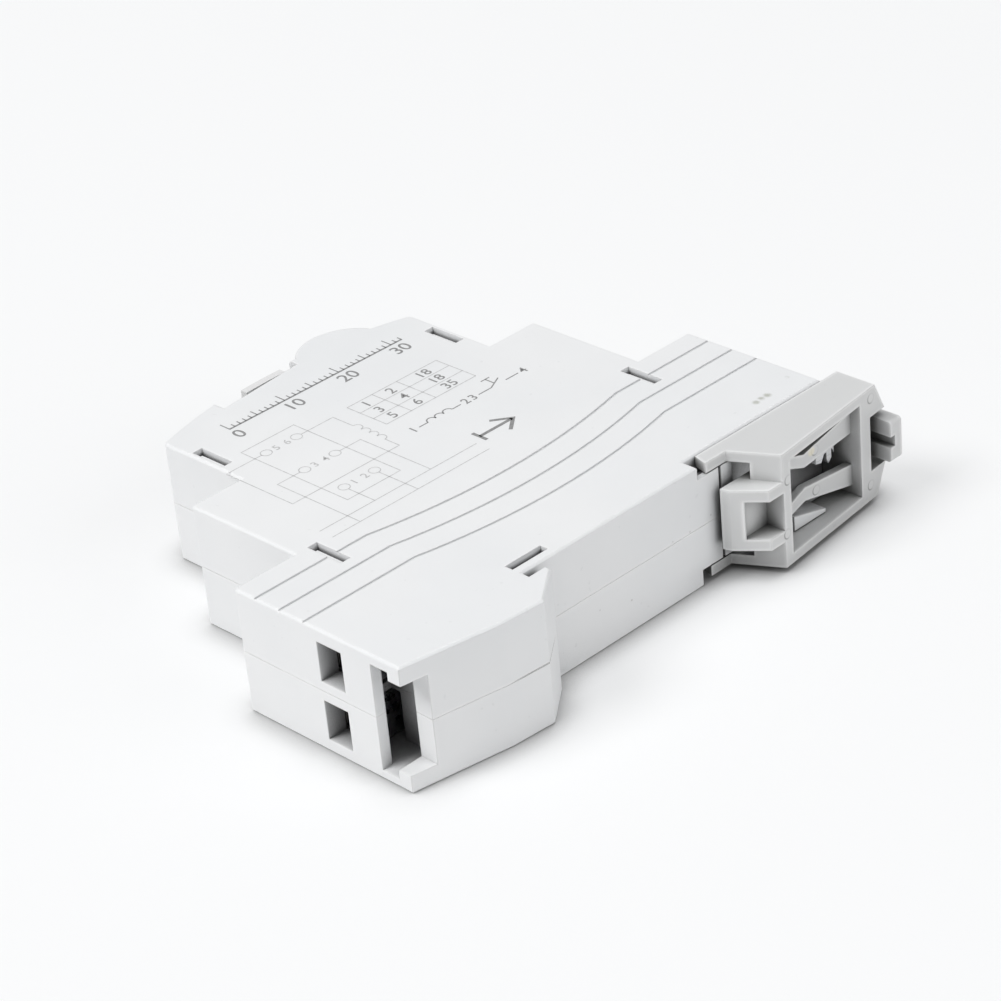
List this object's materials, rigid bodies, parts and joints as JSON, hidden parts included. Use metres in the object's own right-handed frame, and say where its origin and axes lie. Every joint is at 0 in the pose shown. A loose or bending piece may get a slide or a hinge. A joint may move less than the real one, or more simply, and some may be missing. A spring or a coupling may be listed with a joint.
{
  "type": "din rail energy monitor",
  "caption": "Slim stepped housing for rail mounting, with screw terminals at both ends, a sliding rail clip and a hinged clear cover over a display on its curved nose.",
  "frame": {"origin": "centre of the footprint that the unit has when it lies on its side face, as in the picture", "axes": "+X along the housing's height, from the fixed foot's end to the rail clip's end; +Y from the rail side to the curved nose; +Z across the module's width, up from the face it lies on"},
  "size_m": [0.09, 0.0748, 0.018],
  "materials": {
    "shell_plastic": "fine matt moulded white",
    "clip_plastic": "fine matt moulded light grey",
    "clear_plastic": "clear, lightly tinted",
    "fascia_plastic": "matt grey",
    "display_glass": "dark grey-green liquid crystal",
    "board": "green solder mask",
    "chip": "matt black",
    "copper_alloy": "plain",
    "plated_steel": "zinc plated",
    "can_aluminium": "satin",
    "capacitor_sleeve": "dark blue sleeve",
    "ferrite": "dark grey ferrite",
    "copper_wire": "enamelled copper",
    "film_case": "yellow case",
    "varistor_coat": "blue coating",
    "resistor_coat": "green-grey coating",
    "button_plastic": "dark grey",
    "lamp": "diffuse"
  },
  "bodies": {
    "housing": {"lower_shell": "shell_plastic", "upper_shell": "shell_plastic", "fascia": "fascia_plastic", "display_window": "clear_plastic", "display": "display_glass", "display_board": "board", "board_header": "chip", "push_switch": "chip", "status_lamp": "lamp", "light_pipe": "clear_plastic", "main_board": "board", "radio_board": "board", "radio_shield": "can_aluminium", "metering_chip": "chip", "power_chip": "chip", "bridge_rectifier": "chip", "buffer_capacitors": "capacitor_sleeve", "transformer_core": "ferrite", "transformer_winding": "copper_wire", "safety_capacitor": "film_case", "varistor": "varistor_coat", "fuse_resistor": "resistor_coat", "line_bar": "copper_alloy", "neutral_bar": "copper_alloy", "switch_in_bar": "copper_alloy", "switch_out_bar": "copper_alloy", "sensor_a_bar": "copper_alloy", "sensor_b_bar": "copper_alloy"},
    "rail_clip": {"din_clip": "clip_plastic"},
    "cover": {"clear_cover": "clear_plastic"},
    "button": {"push_button": "button_plastic"},
    "plunger": {"switch_plunger": "chip"},
    "line_clamp": {"line_cage": "plated_steel"},
    "line_driver": {"line_screw": "plated_steel"},
    "neutral_clamp": {"neutral_cage": "plated_steel"},
    "neutral_driver": {"neutral_screw": "plated_steel"},
    "switch_in_clamp": {"switch_in_cage": "plated_steel"},
    "switch_in_driver": {"switch_in_screw": "plated_steel"},
    "switch_out_clamp": {"switch_out_cage": "plated_steel"},
    "switch_out_driver": {"switch_out_screw": "plated_steel"},
    "sensor_a_clamp": {"sensor_a_cage": "plated_steel"},
    "sensor_a_driver": {"sensor_a_screw": "plated_steel"},
    "sensor_b_clamp": {"sensor_b_cage": "plated_steel"},
    "sensor_b_driver": {"sensor_b_screw": "plated_steel"}
  },
  "joints": [
    {"name": "clip_slide", "type": "slide", "parent": "housing", "child": "rail_clip", "axis": [1, 0, 0], "range_m": [-0.0014, 0.0015]},
    {"name": "cover_hinge", "type": "hinge", "parent": "housing", "child": "cover", "pos_m": [0.0075, 0.0346, 0.009], "axis": [0, 0, -1], "range_deg": [0, 110]},
    {"name": "button_press", "type": "slide", "parent": "housing", "child": "button", "axis": [0, -1, 0], "range_m": [0, 0.0003], "stiffness_N_per_m": 3000},
    {"name": "plunger_press", "type": "slide", "parent": "housing", "child": "plunger", "axis": [0, -1, 0], "range_m": [0, 0.0003]},
    {"name": "line_screw_turn", "type": "hinge", "parent": "housing", "child": "line_driver", "pos_m": [-0.0396, -0.0114, 0.00475], "axis": [0, -1, 0], "range_deg": [0, 2520]},
    {"name": "line_cage_rise", "type": "slide", "parent": "housing", "child": "line_clamp", "axis": [0, 1, 0], "range_m": [0, 0.0035]},
    {"name": "neutral_screw_turn", "type": "hinge", "parent": "housing", "child": "neutral_driver", "pos_m": [-0.0396, -0.0114, 0.01325], "axis": [0, -1, 0], "range_deg": [0, 2520]},
    {"name": "neutral_cage_rise", "type": "slide", "parent": "housing", "child": "neutral_clamp", "axis": [0, 1, 0], "range_m": [0, 0.0035]},
    {"name": "switch_in_screw_turn", "type": "hinge", "parent": "housing", "child": "switch_in_driver", "pos_m": [0.0334, -0.0114, 0.00475], "axis": [0, -1, 0], "range_deg": [0, 2520]},
    {"name": "switch_in_cage_rise", "type": "slide", "parent": "housing", "child": "switch_in_clamp", "axis": [0, 1, 0], "range_m": [0, 0.0035]},
    {"name": "switch_out_screw_turn", "type": "hinge", "parent": "housing", "child": "switch_out_driver", "pos_m": [0.0334, -0.0114, 0.01325], "axis": [0, -1, 0], "range_deg": [0, 2520]},
    {"name": "switch_out_cage_rise", "type": "slide", "parent": "housing", "child": "switch_out_clamp", "axis": [0, 1, 0], "range_m": [0, 0.0035]},
    {"name": "sensor_a_screw_turn", "type": "hinge", "parent": "housing", "child": "sensor_a_driver", "pos_m": [0.0232, 0.0086, 0.00475], "axis": [0, -1, 0], "range_deg": [0, 2520]},
    {"name": "sensor_a_cage_rise", "type": "slide", "parent": "housing", "child": "sensor_a_clamp", "axis": [0, 1, 0], "range_m": [0, 0.0035]},
    {"name": "sensor_b_screw_turn", "type": "hinge", "parent": "housing", "child": "sensor_b_driver", "pos_m": [0.0232, 0.0086, 0.01325], "axis": [0, -1, 0], "range_deg": [0, 2520]},
    {"name": "sensor_b_cage_rise", "type": "slide", "parent": "housing", "child": "sensor_b_clamp", "axis": [0, 1, 0], "range_m": [0, 0.0035]}
  ],
  "couplings": [
    {"joint": "plunger_press", "follows": "button_press", "ratio": 1},
    {"joint": "line_screw_turn", "follows": "line_cage_rise", "rad_per_m": 12566},
    {"joint": "neutral_screw_turn", "follows": "neutral_cage_rise", "rad_per_m": 12566},
    {"joint": "switch_in_screw_turn", "follows": "switch_in_cage_rise", "rad_per_m": 12566},
    {"joint": "switch_out_screw_turn", "follows": "switch_out_cage_rise", "rad_per_m": 12566},
    {"joint": "sensor_a_screw_turn", "follows": "sensor_a_cage_rise", "rad_per_m": 12566},
    {"joint": "sensor_b_screw_turn", "follows": "sensor_b_cage_rise", "rad_per_m": 12566}
  ]
}
